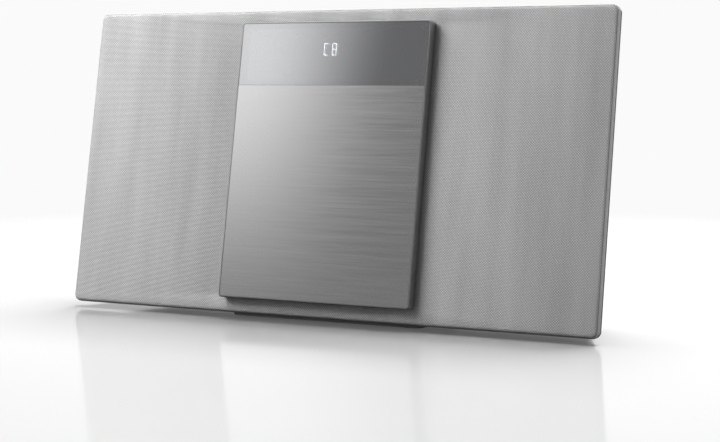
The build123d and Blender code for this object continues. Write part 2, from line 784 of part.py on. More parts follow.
with BuildPart() as mech_chassis:
    slab(panel(chassis_front), chassis_size[0], chassis_size[1], -chassis_thickness, [chassis_centre], 3.0)
    for lug in sled_lug_us:
        for side in (-1, 1):
            v = disc_v + side * sled_rod_offset
            slab(panel(chassis_back), 2.0, 6.0, sled_rod_height - 3 - chassis_back, [(lug, v)])
    motor_wall = (sled_pinion_u - 4.0, chassis_low + 1.0)
    slab(panel(chassis_back), 9.0, 1.9, motor_plate_back - chassis_back, [motor_wall])
    plate_v = (chassis_low + sled_pitch_v - 0.6) / 2
    plate_height = sled_pitch_v - 0.6 - chassis_low
    slab(
        panel(motor_plate_front),
        12.0,
        plate_height,
        motor_plate_back - motor_plate_front,
        [(sled_pinion_u - 2.5, plate_v)],
    )
    peg(panel(chassis_back), 1.0, -8.0, [(sled_gear_u, sled_gear_v)])
    tower_left = lens_u - 6.8
    tower_right = lens_u + sled_travel + 6.8
    slab(
        panel(0),
        tower_right - tower_left,
        16,
        chassis_back - 0.01,
        [((tower_left + tower_right) / 2, disc_v)],
        2,
        Mode.SUBTRACT,
    )
    peg(panel(0), damper_neck + seated, -20, damper_places, Mode.SUBTRACT)
    peg(panel(0), 3.4, chassis_back - 0.01, [(disc_u, disc_v)], Mode.SUBTRACT)
    peg(panel(-24), 1.6, -3, [(sled_pinion_u, sled_gear_v)], Mode.SUBTRACT)
    for side in (-1, 1):
        seat = on_panel(0, disc_v + side * sled_rod_offset, sled_rod_height)
        with BuildSketch(Plane.YZ) as rod_hole:
            with Locations((seat.Y, seat.Z)):
                Circle(sled_rod_radius + seated)
        extrude(rod_hole.sketch, amount=panel_width / 4, mode=Mode.SUBTRACT)
mech_chassis.part.label = "mech_chassis"
export_step(mech_chassis.part, "parts/mech_chassis.step")

with BuildPart() as mech_dampers:
    for u, v in damper_places:
        turned(
            u,
            v,
            [
                (1.4, damper_top),
                (4.6, damper_top),
                (4.6, chassis_front + seated),
                (damper_neck, chassis_front + seated),
                (damper_neck, chassis_back - seated),
                (4.6, chassis_back - seated),
                (4.6, chassis_back - 1.5),
                (1.4, chassis_back - 1.5),
            ],
        )
mech_dampers.part.label = "mech_dampers"
export_step(mech_dampers.part, "parts/mech_dampers.step")

with BuildPart() as mech_screws:
    peg(panel(chassis_back - 1.5 - seated), 3.0, -1.6, damper_places)
    peg(panel(chassis_back - 2.0), 1.27, damper_top + 3.2 - chassis_back + 2.0, damper_places)
mech_screws.part.label = "mech_screws"
export_step(mech_screws.part, "parts/mech_screws.step")

with BuildPart() as spindle_motor:
    peg(panel(chassis_back - seated), 11.0, -9.0, [(disc_u, disc_v)])
    peg(panel(chassis_back - seated), 3.0, 4.5, [(disc_u, disc_v)])
    peg(panel(0), spindle_radius + running, -24, [(disc_u, disc_v)], Mode.SUBTRACT)
spindle_motor.part.label = "spindle_motor"
export_step(spindle_motor.part, "parts/spindle_motor.step")

nose_top = disc_seat + 2.8
ball_radius = 0.7
ball_height = disc_seat + 2.0
ball_pocket = nose_top - ball_height + ball_radius + 0.1
ball_circle = hub_radius - ball_radius
ball_centres = [
    (disc_u + ball_circle * cos(radians(angle)), disc_v + ball_circle * sin(radians(angle)))
    for angle in (30, 150, 270)
]
ball_places = [on_panel(u, v, ball_height) for u, v in ball_centres]
with BuildPart() as disc_hub:
    turned(
        disc_u,
        disc_v,
        [
            (0, nose_top),
            (hub_radius - 0.6, nose_top),
            (hub_radius, nose_top - 0.6),
            (hub_radius, disc_seat),
            (turntable_radius, disc_seat),
            (turntable_radius, disc_seat - 2.0),
            (4.0, disc_seat - 2.0),
            (4.0, disc_seat - 6.0),
            (spindle_radius, disc_seat - 6.0),
            (spindle_radius, -22.0),
            (0, -22.0),
        ],
    )
    peg(panel(nose_top), ball_radius + 0.15, -ball_pocket, ball_centres, Mode.SUBTRACT)
disc_hub.part.label = "disc_hub"
export_step(disc_hub.part, "parts/disc_hub.step")

with BuildPart() as hub_latch_balls:
    with Locations(*ball_places):
        Sphere(ball_radius)
hub_latch_balls.part.label = "hub_latch_balls"
export_step(hub_latch_balls.part, "parts/hub_latch_balls.step")

holder_front = -10.4
with BuildPart() as pickup_sled:
    slab(panel(sled_front), sled_width, sled_height, -sled_depth, [(sled_left + sled_width / 2, disc_v)])
    peg(panel(-12.6), 6.0, sled_front + 12.6, [(lens_u, disc_v)])
    rack(
        panel(sled_gear_front),
        sled_gear_u - sled_travel - 3.0,
        sled_left + sled_width,
        sled_gear_u,
        sled_pitch_v,
        -1,
        sled_pitch_v + 2.4,
        sled_module,
        sled_gear_width,
        sled_addendum,
    )
    peg(panel(0), 4.6, -15.5, [(lens_u, disc_v)], Mode.SUBTRACT)
    for side in (-1, 1):
        seat = on_panel(0, disc_v + side * sled_rod_offset, sled_rod_height)
        with BuildSketch(Plane.YZ) as bore:
            with Locations((seat.Y, seat.Z)):
                Circle(sled_rod_radius + running)
        extrude(bore.sketch, amount=panel_width / 4, mode=Mode.SUBTRACT)
pickup_sled.part.label = "pickup_sled"
export_step(pickup_sled.part, "parts/pickup_sled.step")

with BuildPart() as lens_holder:
    turned(
        lens_u,
        disc_v,
        [
            (1.6, holder_front),
            (5.4, holder_front),
            (5.4, holder_front - 1.4),
            (4.0, holder_front - 1.4),
            (4.0, holder_front - 4.0),
            (1.6, holder_front - 4.0),
        ],
    )
lens_holder.part.label = "lens_holder"
export_step(lens_holder.part, "parts/lens_holder.step")

with BuildPart() as pickup_lens:
    lens_rise = 1.0
    lens_radius = 2.6
    lens_seat = holder_front + seated
    arc = [
        (lens_radius * cos(radians(angle)), lens_seat + lens_rise * sin(radians(angle)))
        for angle in range(0, 91, 15)
    ]
    turned(lens_u, disc_v, arc + [(0, lens_seat)])
pickup_lens.part.label = "pickup_lens"
export_step(pickup_lens.part, "parts/pickup_lens.step")

with BuildPart() as sled_rods:
    for side in (-1, 1):
        seat = on_panel(0, disc_v + side * sled_rod_offset, sled_rod_height)
        with BuildSketch(Plane.YZ.offset(sled_lug_us[0] - 1)) as section:
            with Locations((seat.Y, seat.Z)):
                Circle(sled_rod_radius)
        extrude(section.sketch, amount=sled_lug_us[1] - sled_lug_us[0] + 2)
sled_rods.part.label = "sled_rods"
export_step(sled_rods.part, "parts/sled_rods.step")

sled_mesh_angle = 180.0
sled_tooth_angle = 360.0 / sled_gear_teeth
sled_offset = (sled_mesh_angle - 90.0) % sled_tooth_angle
pinion_phase = sled_mesh_angle + 180 + (0.5 + sled_offset / sled_tooth_angle) * 360.0 / sled_pinion_teeth
with BuildPart() as sled_gear:
    gear(
        panel(sled_gear_front),
        sled_gear_u,
        sled_gear_v,
        sled_module,
        sled_gear_teeth,
        sled_gear_width,
        90.0,
        sled_addendum,
    )
    peg(panel(0), 1.0 + running, -30, [(sled_gear_u, sled_gear_v)], Mode.SUBTRACT)
sled_gear.part.label = "sled_gear"
export_step(sled_gear.part, "parts/sled_gear.step")

with BuildPart() as sled_pinion:
    gear(
        panel(sled_gear_front),
        sled_pinion_u,
        sled_gear_v,
        sled_module,
        sled_pinion_teeth,
        sled_gear_width,
        pinion_phase,
        sled_addendum,
    )
    peg(panel(sled_gear_front), 0.75, -9.0, [(sled_pinion_u, sled_gear_v)])
sled_pinion.part.label = "sled_pinion"
export_step(sled_pinion.part, "parts/sled_pinion.step")

with BuildPart() as sled_motor:
    peg(panel(motor_plate_back - seated), 6.0, -11.0, [(sled_pinion_u, sled_gear_v)])
    peg(panel(motor_plate_back - seated), 1.5, 1.2, [(sled_pinion_u, sled_gear_v)])
    peg(panel(0), 0.75 + running, -31, [(sled_pinion_u, sled_gear_v)], Mode.SUBTRACT)
sled_motor.part.label = "sled_motor"
export_step(sled_motor.part, "parts/sled_motor.step")

# ---- display ------------------------------------------------------------------------------------
display_glass = (70.0, 24.0)
display_thickness = 3.1
display_front = bay_face - bay_wall - joint_gap
display_board_front = display_front - display_thickness - joint_gap
display_board_back = display_board_front - board_thickness
with BuildPart() as segment_display:
    slab(panel(display_front), display_glass[0], display_glass[1], -display_thickness, [(0, display_v)], 0.8)
segment_display.part.label = "segment_display"
export_step(segment_display.part, "parts/segment_display.step")

with BuildPart() as display_board:
    slab(panel(display_board_front), 104, 30, -board_thickness, [(0, display_v)], 1.5)
    slab(panel(display_board_back), 22, 6, -3.6, [(-30, display_v - 8)])
    slab(panel(display_board_back), 10, 10, -1.6, [(-4, display_v + 6), (26, display_v - 2)])
    peg(panel(0), 1.3, -12, display_boss_places, Mode.SUBTRACT)
display_board.part.label = "display_board"
export_step(display_board.part, "parts/display_board.step")

# ---- loudspeakers -------------------------------------------------------------------------------
flange_front = baffle_back - 0.05
flange_back = flange_front - 1.5
basket_back = -30.0
magnet_back = basket_back - 0.05 - magnet_depth
roll_centre = cone_radius + 3.2
roll_radius = 2.8


def driver_screw_places(side):
    """The four screw positions round one loudspeaker."""
    return [
        (
            side * driver_u + driver_pitch * cos(radians(45 + 90 * turn)),
            driver_v + driver_pitch * sin(radians(45 + 90 * turn)),
        )
        for turn in range(4)
    ]


for name, side in (("left", -1), ("right", 1)):
    centre = (side * driver_u, driver_v)
    with BuildPart() as speaker_basket:
        turned(
            *centre,
            [
                (driver_cutout - 2.2, flange_front),
                (driver_flange, flange_front),
                (driver_flange, flange_back),
                (driver_cutout - 0.5, flange_back),
                (26.0, basket_back + 1.8),
                (26.0, basket_back),
                (12.0, basket_back),
                (12.0, basket_back + 1.2),
                (24.6, basket_back + 1.2),
                (driver_cutout - 2.2, flange_back - 0.2),
            ],
        )
        with BuildSketch(panel(-13)) as windows:
            with Locations(centre):
                with PolarLocations(32, 4):
                    Circle(10)
        extrude(windows.sketch, amount=-13, mode=Mode.SUBTRACT)
        peg(panel(0), 1.7, -12, driver_screw_places(side), Mode.SUBTRACT)
    speaker_basket.part.label = f"speaker_basket_{name}"
    export_step(speaker_basket.part, f"parts/speaker_basket_{name}.step")

    magnet_front = basket_back - 0.05
    with BuildPart() as speaker_magnet:
        turned(
            *centre,
            [
                (0, magnet_front),
                (9.2, magnet_front),
                (9.2, magnet_front - 11),
                (11.3, magnet_front - 11),
                (11.3, magnet_front),
                (magnet_radius, magnet_front),
                (magnet_radius, magnet_back),
                (0, magnet_back),
            ],
        )
    speaker_magnet.part.label = f"speaker_magnet_{name}"
    export_step(speaker_magnet.part, f"parts/speaker_magnet_{name}.step")

    with BuildPart() as speaker_cone:
        turned(
            *centre,
            [
                (0, -15.5),
                (6, -16.3),
                (11.5, -19.5),
                (cone_radius, -8.4),
                (cone_radius, -9.3),
                (10.6, -22.2),
                (10.6, -36.0),
                (9.9, -36.0),
                (9.9, -20.2),
                (6, -17.2),
                (0, -16.4),
            ],
        )
    speaker_cone.part.label = f"speaker_cone_{name}"
    export_step(speaker_cone.part, f"parts/speaker_cone_{name}.step")

with BuildPart() as speaker_surrounds:
    for side in (-1, 1):
        crest = [
            (roll_centre + roll_radius * cos(radians(a)), baffle_back + roll_radius * sin(radians(a)))
            for a in range(180, 14, -15)
        ]
        hollow = [
            (
                roll_centre + (roll_radius - 0.6) * cos(radians(a)),
                baffle_back + (roll_radius - 0.6) * sin(radians(a)),
            )
            for a in range(0, 181, 15)
        ]
        lip = [(driver_cutout - 0.4, baffle_back + 0.5), (driver_cutout - 0.4, baffle_back)]
        turned(side * driver_u, driver_v, crest + lip + hollow)
speaker_surrounds.part.label = "speaker_surrounds"
export_step(speaker_surrounds.part, "parts/speaker_surrounds.step")

with BuildPart() as speaker_screws:
    for side in (-1, 1):
        places = driver_screw_places(side)
        peg(panel(flange_back - seated), 2.8, -1.6, places)
        peg(panel(flange_back - 1), 1.25, baffle_back + 2.3 - flange_back + 1, places)
speaker_screws.part.label = "speaker_screws"
export_step(speaker_screws.part, "parts/speaker_screws.step")

# ---- boards and sockets -------------------------------------------------------------------------
board_half = 72.0
board_front_y = board_back_y - board_thickness
with BuildPart() as main_board:
    block((-board_half, board_front_y, 46), (board_half, board_back_y, 158))
    block((-8, board_front_y - 1.8, 110), (14, board_front_y, 132))
    block((24, board_front_y - 1.6, 108), (40, board_front_y, 124))
    block((-60, board_front_y - 5, 52), (-36, board_front_y, 58))
    block((-24, board_front_y - 5, 52), (-12, board_front_y, 58))
    peg(Plane.XZ.offset(-board_front_y), 5.0, 9.0, [(x, 82) for x in (-58, -46, -34, -22)])
    peg(rear_plane, 1.7, rear_y + 20, main_board_posts, Mode.SUBTRACT)
main_board.part.label = "main_board"
export_step(main_board.part, "parts/main_board.step")

with BuildPart() as heat_sink:
    block((-66, board_front_y - 3.05, 100), (-22, board_front_y - 0.05, 148))
    for fin in range(9):
        x = -65.2 + fin * 5.3
        block((x, board_front_y - 14, 100), (x + 1.2, board_front_y - 3, 148))
heat_sink.part.label = "heat_sink"
export_step(heat_sink.part, "parts/heat_sink.step")

with BuildPart() as tuner_module:
    block((32, board_front_y - 7.05, 70), (62, board_front_y - 0.05, 94))
    peg(Plane.XZ.offset(-board_front_y + 7.05), 1.4, 0.8, [(40, 76), (54, 88)])
tuner_module.part.label = "tuner_module"
export_step(tuner_module.part, "parts/tuner_module.step")

with BuildPart() as power_board:
    block((-board_half, -8, power_board_z), (board_half, 27, power_board_z + board_thickness))
    block((-66, 8, power_board_z + 1), (-56, 22, power_board_z + 12))
    peg(Plane.XY, 1.7, 30, power_board_posts, Mode.SUBTRACT)
power_board.part.label = "power_board"
export_step(power_board.part, "parts/power_board.step")

parts_z = power_board_z + board_thickness + 0.05
with BuildPart() as power_transformer:
    block((-24, 0, parts_z), (8, 22, parts_z + 5))
    block((-20, 3, parts_z + 4), (4, 19, parts_z + 20))
    block((-24, 0, parts_z + 18), (8, 22, parts_z + 23))
    block((-23, 7, parts_z), (-19, 15, parts_z + 23))
    block((3, 7, parts_z), (7, 15, parts_z + 23))
power_transformer.part.label = "power_transformer"
export_step(power_transformer.part, "parts/power_transformer.step")

with BuildPart() as power_capacitors:
    peg(Plane.XY.offset(parts_z), 8.0, 25, [(24, 11)])
    peg(Plane.XY.offset(parts_z), 5.5, 20, [(42, 2), (42, 18), (56, 10)])
    chamfer(power_capacitors.faces().group_by(Axis.Z)[-1].edges(), 0.6)
power_capacitors.part.label = "power_capacitors"
export_step(power_capacitors.part, "parts/power_capacitors.step")

inlet_depth = 15.0
inlet_recess = (17.6, 8.4)
inlet_pin_pitch = 8.6
inlet_pin_radius = 1.2
with BuildPart() as ac_inlet:
    slab(rear_plane, inlet_size[0], inlet_size[1], inlet_depth, [(inlet_x, inlet_z)], 1.5)
    slab(rear_plane, inlet_recess[0], inlet_recess[1], 12, [(inlet_x, inlet_z)], 4.0, Mode.SUBTRACT)
    pin_places = [(inlet_x + side * inlet_pin_pitch / 2, inlet_z) for side in (-1, 1)]
    peg(rear_plane.offset(2.5), inlet_pin_radius, inlet_depth - 3, pin_places)
ac_inlet.part.label = "ac_inlet"
export_step(ac_inlet.part, "parts/ac_inlet.step")

socket_depth = rear_y - board_back_y - 0.1
antenna_bore = 4.75
jack_bore = 1.8
with BuildPart() as antenna_socket:
    peg(rear_plane, 6.0, socket_depth, [(antenna_x, socket_z)])
    peg(rear_plane, antenna_bore, 9, [(antenna_x, socket_z)], Mode.SUBTRACT)
    peg(rear_plane.offset(1), 1.15, 9, [(antenna_x, socket_z)])
antenna_socket.part.label = "antenna_socket"
export_step(antenna_socket.part, "parts/antenna_socket.step")

with BuildPart() as audio_jack:
    peg(rear_plane, 4.0, 4, [(jack_x, socket_z)])
    slab(rear_plane.offset(shell_wall + 0.3), 11, 9, socket_depth - shell_wall - 0.3, [(jack_x, socket_z)])
    peg(rear_plane, jack_bore, 11, [(jack_x, socket_z)], Mode.SUBTRACT)
audio_jack.part.label = "audio_jack"
export_step(audio_jack.part, "parts/audio_jack.step")

with BuildPart() as usb_port:
    slab(rear_plane, usb_size[0], usb_size[1], socket_depth, [(usb_x, socket_z)], 0.6)
    slab(rear_plane, usb_size[0] - 1.4, usb_size[1] - 1.4, 10, [(usb_x, socket_z)], 0.4, Mode.SUBTRACT)
    slab(rear_plane.offset(1.5), 11.0, 1.8, 9, [(usb_x, socket_z + 1.2)])
usb_port.part.label = "usb_port"
export_step(usb_port.part, "parts/usb_port.step")

# ---- top keys -----------------------------------------------------------------------------------
button_proud = 1.2
switch_top = button_board_z + 3.4
flange_low = switch_top + button_travel + 0.2
with BuildPart() as button_board:
    block((-62, 12, button_board_z - board_thickness), (62, 36, button_board_z))
    switch_places = [(x, button_y) for x in button_xs]
    slab(Plane.XY.offset(button_board_z), 6, 6, switch_top - button_board_z, switch_places)
button_board.part.label = "button_board"
export_step(button_board.part, "parts/button_board.step")

for name, x in zip(button_names, button_xs):
    with BuildPart() as button:
        cap_height = shell_top + button_proud - flange_low
        slab(Plane.XY.offset(flange_low), button_length, button_width, cap_height, [(x, button_y)], 1.0)
        fillet(button.faces().sort_by(Axis.Z)[-1].edges(), 0.5)
        slab(Plane.XY.offset(flange_low), button_length + 3, button_width + 3, 1.6, [(x, button_y)], 1.0)
    button.part.label = f"button_{name}"
    export_step(button.part, f"parts/button_{name}.step")

# ---- foot and screws ----------------------------------------------------------------------------
foot_front = front_y + foot_set_back
foot_top = shell_floor - 0.05
foot_back = foot_front + foot_depth
foot_counterbore = 2.4
foot_screw_end = power_board_z - 0.4
pad_depth = 0.6
pad_places = [(side * (door_width / 2 - 12), y) for side in (-1, 1) for y in (foot_front + 8, foot_back - 9)]

with BuildPart() as foot_base:
    foot_middle = (0, (foot_front + foot_back) / 2)
    slab(Plane.XY.offset(foot_bottom), door_width, foot_depth, foot_top - foot_bottom, [foot_middle], 5.0)
    slab(Plane.XY.offset(foot_top), 70, 46, -4.5, [foot_middle], 3, Mode.SUBTRACT)
    peg(Plane.XY.offset(foot_bottom), foot_pad_radius + seated, pad_depth, pad_places, Mode.SUBTRACT)
    peg(Plane.XY, 1.6, 12, foot_screw_places, Mode.SUBTRACT)
    peg(Plane.XY, 3.2, foot_bottom + foot_counterbore, foot_screw_places, Mode.SUBTRACT)
foot_base.part.label = "foot_base"
export_step(foot_base.part, "parts/foot_base.step")

with BuildPart() as rubber_feet:
    peg(Plane.XY, foot_pad_radius, foot_bottom + pad_depth - seated, pad_places)
    chamfer(rubber_feet.faces().group_by(Axis.Z)[0].edges(), 0.4)
rubber_feet.part.label = "rubber_feet"
export_step(rubber_feet.part, "parts/rubber_feet.step")

head_y = rear_y - counterbore
with BuildPart() as case_screws:
    places = case_screw_places
    peg(Plane.XZ.offset(-head_y - 2), 3.1, 2 - seated, places)
    peg(Plane.XZ.offset(-head_y - 1), case_screw_radius, head_y + 1 - boss_end + screw_reach, places)
    peg(Plane.XY.offset(foot_bottom + 0.7), 3.0, foot_counterbore - 0.75, foot_screw_places)
    peg(Plane.XY.offset(foot_bottom + 1), 1.27, foot_screw_end - foot_bottom - 1, foot_screw_places)
case_screws.part.label = "case_screws"
export_step(case_screws.part, "parts/case_screws.step")
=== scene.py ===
import json
from math import cos, pi, radians, sin

import bmesh
import bpy
from mathutils import Matrix, Vector


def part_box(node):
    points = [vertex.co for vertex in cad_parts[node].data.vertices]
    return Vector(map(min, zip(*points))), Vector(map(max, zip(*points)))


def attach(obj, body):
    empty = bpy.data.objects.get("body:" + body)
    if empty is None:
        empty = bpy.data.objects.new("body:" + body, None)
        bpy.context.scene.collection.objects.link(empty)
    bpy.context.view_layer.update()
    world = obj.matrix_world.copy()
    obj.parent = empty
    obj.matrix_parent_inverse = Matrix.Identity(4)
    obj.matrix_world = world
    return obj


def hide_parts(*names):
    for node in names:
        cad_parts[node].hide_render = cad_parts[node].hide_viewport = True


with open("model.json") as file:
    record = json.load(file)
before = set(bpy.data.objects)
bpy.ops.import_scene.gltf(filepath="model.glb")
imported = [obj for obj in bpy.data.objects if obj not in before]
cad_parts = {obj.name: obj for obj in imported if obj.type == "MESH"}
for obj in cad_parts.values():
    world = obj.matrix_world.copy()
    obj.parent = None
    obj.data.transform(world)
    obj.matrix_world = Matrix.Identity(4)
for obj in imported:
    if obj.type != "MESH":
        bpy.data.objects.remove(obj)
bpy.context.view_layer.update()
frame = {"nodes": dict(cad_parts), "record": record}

# ---- the leaning front's own frame: X right, Y up the slope, Z outward, metres ---------------------
LEAN = radians(10.25)
WRAP = 0.0048  # how far the cloth turns round the edge
PANEL_CORNER = 0.005
cloth_low, cloth_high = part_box("grille_cloth")
PANEL_W = cloth_high[0] - cloth_low[0]
PANEL_H = (cloth_high[2] - cloth_low[2] - WRAP * sin(LEAN)) / cos(LEAN)
FRONT_Y = cloth_low[1]
GAP = cloth_high[2] - PANEL_H * cos(LEAN)
PANEL = Matrix(
    (
        (1, 0, 0, 0),
        (0, sin(LEAN), -cos(LEAN), FRONT_Y),
        (0, cos(LEAN), sin(LEAN), GAP),
        (0, 0, 0, 1),
    )
)
door_low, door_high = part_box("door_carrier")
DOOR_W = door_high[0] - door_low[0]
DOOR_H = 0.196
DOOR_LAP = 0.0016  # door overlap past the opening behind it
MIDDLE_V = PANEL_H / 2

# ---- camera ------------------------------------------------------------------------------------------
YAW = radians(27.64)
PITCH = radians(-2.21)
CAMERA_AT = Vector((0.567, FRONT_Y - 1.015, 0.170))
SENSOR = 36.0
LENS = 85.25
LENS_SHIFT = -0.1097


def add_camera():
    """The camera, level with the upper part of the front and to its right."""
    camera = bpy.data.objects.new("camera", bpy.data.cameras.new("camera"))
    bpy.context.collection.objects.link(camera)
    camera.data.sensor_width = SENSOR
    camera.data.lens = LENS
    camera.data.shift_y = LENS_SHIFT
    camera.location = CAMERA_AT
    ahead = Vector((-sin(YAW) * cos(PITCH), cos(YAW) * cos(PITCH), sin(PITCH)))
    camera.rotation_euler = ahead.to_track_quat("-Z", "Y").to_euler()
    bpy.context.scene.camera = camera


add_camera()


# ---- node helpers ------------------------------------------------------------------------------------
def new_group(name, inputs, outputs):
    """An empty shader node group with float, vector or colour sockets."""
    tree = bpy.data.node_groups.new(name, "ShaderNodeTree")
    for label, kind, value in inputs:
        socket = tree.interface.new_socket(name=label, in_out="INPUT", socket_type=f"NodeSocket{kind}")
        if value is not None:
            socket.default_value = value
    for label, kind in outputs:
        tree.interface.new_socket(name=label, in_out="OUTPUT", socket_type=f"NodeSocket{kind}")
    ends = tree.nodes.new("NodeGroupInput"), tree.nodes.new("NodeGroupOutput")
    return tree, ends[0].outputs, ends[1].inputs


def plug(tree, socket, value):
    """Feeds a socket from another socket or a plain value."""
    if isinstance(value, bpy.types.NodeSocket):
        tree.links.new(value, socket)
    else:
        socket.default_value = value


def calc(tree, operation, *values):
    """A Math node; returns its result."""
    node = tree.nodes.new("ShaderNodeMath")
    node.operation = operation
    for socket, value in zip(node.inputs, values):
        plug(tree, socket, value)
    return node.outputs[0]


def noise(tree, vector, scale, detail=3.0, stretch=(1, 1, 1)):
    """A noise texture of a vector that is stretched first."""
    mapping = tree.nodes.new("ShaderNodeMapping")
    mapping.inputs["Scale"].default_value = stretch
    tree.links.new(vector, mapping.inputs["Vector"])
    node = tree.nodes.new("ShaderNodeTexNoise")
    tree.links.new(mapping.outputs[0], node.inputs["Vector"])
    plug(tree, node.inputs["Scale"], scale)
    node.inputs["Detail"].default_value = detail
    return node.outputs[0]


def tint(tree, colour, factor):
    """A colour times a grey factor."""
    node = tree.nodes.new("ShaderNodeVectorMath")
    node.operation = "SCALE"
    plug(tree, node.inputs[0], colour)
    plug(tree, node.inputs["Scale"], factor)
    return node.outputs[0]


THREAD_FLATNESS = 0.6  # 1 is a round thread, less is flatter


def build_weave():
    """Plain weave: warp over weft in a checker, round threads, from a vector in metres; its colour
    carries painted shade in the hollows between threads and painted light on the warp threads.
    """
    tree, given, out = new_group(
        "plain_weave",
        [
            ("Vector", "Vector", None),
            ("Colour", "Color", (0.5, 0.5, 0.5, 1)),
            ("Thread", "Float", 0.001),
            ("Contrast", "Float", 0.25),
        ],
        [("Colour", "Color"), ("Height", "Float")],
    )
    split = tree.nodes.new("ShaderNodeSeparateXYZ")
    tree.links.new(given["Vector"], split.inputs[0])
    wobble = calc(tree, "MULTIPLY", calc(tree, "SUBTRACT", noise(tree, given["Vector"], 90.0), 0.5), 0.25)
    across = calc(tree, "ADD", calc(tree, "DIVIDE", split.outputs[0], given["Thread"]), wobble)
    along = calc(tree, "ADD", calc(tree, "DIVIDE", split.outputs[1], given["Thread"]), wobble)
    round_across = calc(tree, "ABSOLUTE", calc(tree, "SINE", calc(tree, "MULTIPLY", across, pi)))
    round_along = calc(tree, "ABSOLUTE", calc(tree, "SINE", calc(tree, "MULTIPLY", along, pi)))
    cells = calc(tree, "ADD", calc(tree, "FLOOR", across), calc(tree, "FLOOR", along))
    warp = calc(tree, "MODULO", calc(tree, "ABSOLUTE", cells), 2.0)
    height = calc(
        tree,
        "MULTIPLY",
        calc(tree, "POWER", round_across, THREAD_FLATNESS),
        calc(tree, "POWER", round_along, THREAD_FLATNESS),
    )
    fibre_warp = noise(tree, given["Vector"], 1400.0, 2.0, (1.0, 0.2, 1.0))
    fibre_weft = noise(tree, given["Vector"], 1400.0, 2.0, (0.2, 1.0, 1.0))
    slub = noise(tree, given["Vector"], 60.0, 4.0, (1.0, 0.12, 1.0))
    over = calc(tree, "MULTIPLY", warp, fibre_warp)
    under = calc(tree, "MULTIPLY", calc(tree, "SUBTRACT", 1.0, warp), fibre_weft)
    fibre = calc(tree, "ADD", over, under)
    # painted shade: the colour darkens where the threads dip, and the warp threads are painted lighter
    # than the weft as if lit differently; the fibre and slub terms below are the yarn's own tone
    shade = calc(tree, "ADD", calc(tree, "MULTIPLY", height, 0.45), calc(tree, "MULTIPLY", warp, 0.35))
    shade = calc(tree, "ADD", shade, calc(tree, "MULTIPLY", fibre, 0.25))
    shade = calc(tree, "ADD", shade, calc(tree, "MULTIPLY", slub, 0.35))
    shade = calc(tree, "SUBTRACT", shade, 0.72)
    factor = calc(tree, "ADD", 1.0, calc(tree, "MULTIPLY", shade, given["Contrast"]))
    plug(tree, out["Colour"], tint(tree, given["Colour"], factor))
    plug(tree, out["Height"], calc(tree, "ADD", height, calc(tree, "MULTIPLY", fibre, 0.2)))
    return tree


def build_grain():
    """Fine pebble grain of a moulded surface, with soft uneven gloss."""
    tree, given, out = new_group(
        "moulded_grain",
        [
            ("Vector", "Vector", None),
            ("Colour", "Color", (0.1, 0.1, 0.1, 1)),
            ("Scale", "Float", 900.0),
            ("Roughness", "Float", 0.5),
            ("Variation", "Float", 0.08),
        ],
        [("Colour", "Color"), ("Roughness", "Float"), ("Height", "Float")],
    )
    fine = noise(tree, given["Vector"], given["Scale"], 2.0)
    broad = noise(tree, given["Vector"], 14.0, 3.0)
    uneven = calc(tree, "SUBTRACT", broad, 0.5)
    shade = calc(tree, "ADD", 1.0, calc(tree, "MULTIPLY", uneven, given["Variation"]))
    pebbles = calc(tree, "MULTIPLY", calc(tree, "SUBTRACT", fine, 0.5), given["Variation"])
    speck = calc(tree, "ADD", shade, pebbles)
    plug(tree, out["Colour"], tint(tree, given["Colour"], speck))
    gloss = calc(tree, "ADD", given["Roughness"], calc(tree, "MULTIPLY", uneven, 0.15))
    plug(tree, out["Roughness"], gloss)
    plug(tree, out["Height"], fine)
    return tree


def build_brushing():
    """Long fine scratches along X with streaks of lighter and darker metal."""
    tree, given, out = new_group(
        "brushed_lines",
        [
            ("Vector", "Vector", None),
            ("Colour", "Color", (0.6, 0.6, 0.6, 1)),
            ("Roughness", "Float", 0.3),
            ("Contrast", "Float", 0.2),
        ],
        [("Colour", "Color"), ("Roughness", "Float"), ("Height", "Float")],
    )
    fine = noise(tree, given["Vector"], 2400.0, 3.0, (0.012, 1.0, 1.0))
    coarse = noise(tree, given["Vector"], 500.0, 4.0, (0.02, 1.0, 1.0))
    cloud = noise(tree, given["Vector"], 40.0, 2.0, (0.3, 1.0, 1.0))
    lines = calc(tree, "ADD", calc(tree, "MULTIPLY", fine, 0.55), calc(tree, "MULTIPLY", coarse, 0.35))
    lines = calc(tree, "ADD", lines, calc(tree, "MULTIPLY", cloud, 0.1))
    centred = calc(tree, "SUBTRACT", lines, 0.5)
    factor = calc(tree, "ADD", 1.0, calc(tree, "MULTIPLY", centred, given["Contrast"]))
    plug(tree, out["Colour"], tint(tree, given["Colour"], factor))
    gloss = calc(tree, "ADD", given["Roughness"], calc(tree, "MULTIPLY", centred, 0.25))
    plug(tree, out["Roughness"], gloss)
    plug(tree, out["Height"], lines)
    return tree


WEAVE = build_weave()
GRAIN = build_grain()
BRUSHING = build_brushing()


def new_material(name, roughness=0.5, metallic=0.0, **sockets):
    """A material with one Principled shader; returns it, its tree and the shader."""
    material = bpy.data.materials.new(name)
    material.use_nodes = True
    tree = material.node_tree
    shader = tree.nodes["Principled BSDF"]
    shader.inputs["Roughness"].default_value = roughness
    shader.inputs["Metallic"].default_value = metallic
    for label, value in sockets.items():
        shader.inputs[label.replace("_", " ")].default_value = value
    return material, tree, shader


def place_group(tree, group, source="Object", **values):
    """A node group in a material, fed with object or UV coordinates."""
    node = tree.nodes.new("ShaderNodeGroup")
    node.node_tree = group
    coordinates = tree.nodes.new("ShaderNodeTexCoord")
    tree.links.new(coordinates.outputs[source], node.inputs["Vector"])
    for label, value in values.items():
        node.inputs[label].default_value = value
    return node


